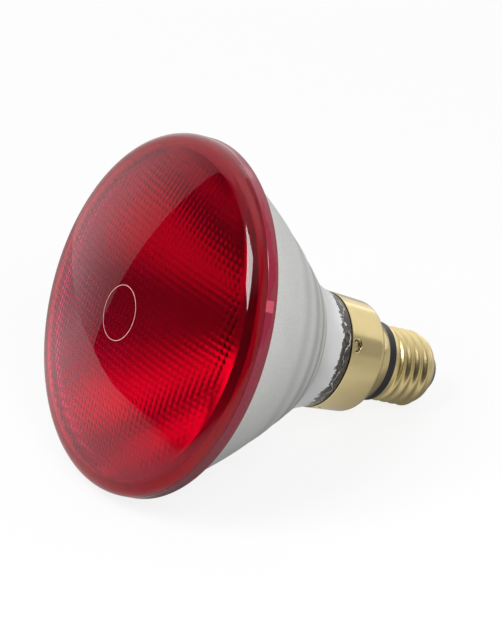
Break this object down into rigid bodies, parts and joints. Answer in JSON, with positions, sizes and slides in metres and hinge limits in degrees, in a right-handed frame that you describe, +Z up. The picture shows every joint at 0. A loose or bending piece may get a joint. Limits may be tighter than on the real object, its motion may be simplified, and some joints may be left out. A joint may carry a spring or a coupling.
{
  "type": "infrared heat lamp bulb",
  "caption": "Reflector heat lamp bulb with a red domed glass lens, frosted cone-shaped bowl and a skirted brass screw cap, lying on its rim and cap.",
  "frame": {"origin": "bottom centre of the part's box, on the surface that the lamp lies on", "axes": "+Z up, +X from the lens towards the cap; the lamp's own axis runs in the XZ plane and dips towards +X because it lies on its rim and on its cap"},
  "size_m": [0.1362, 0.121, 0.1123],
  "materials": {
    "red_glass": "clear deep red pressed glass, glossy",
    "frosted_glass": "pressed glass, silvered inside and frosted outside",
    "brass": "polished pale brass sheet",
    "solder": "dull solder",
    "black_ring": "matt black moulding",
    "black_glass": "opaque black glass",
    "clear_glass": "clear drawn glass",
    "lead_wire": "nickel wire",
    "tungsten": "dark drawn wire"
  },
  "bodies": {
    "root": {"lens": "red_glass", "reflector": "frosted_glass", "cap_skirt": "brass", "screw_shell": "brass", "centre_contact": "brass", "contact_solder": "solder", "insulating_ring": "black_ring", "end_insulator": "black_glass", "stem": "clear_glass", "exhaust_tube": "clear_glass", "support_rod": "clear_glass", "contact_lead": "lead_wire", "shell_lead": "lead_wire", "filament": "tungsten", "support_wire_1": "tungsten", "support_wire_2": "tungsten", "support_wire_3": "tungsten"}
  },
  "joints": []
}
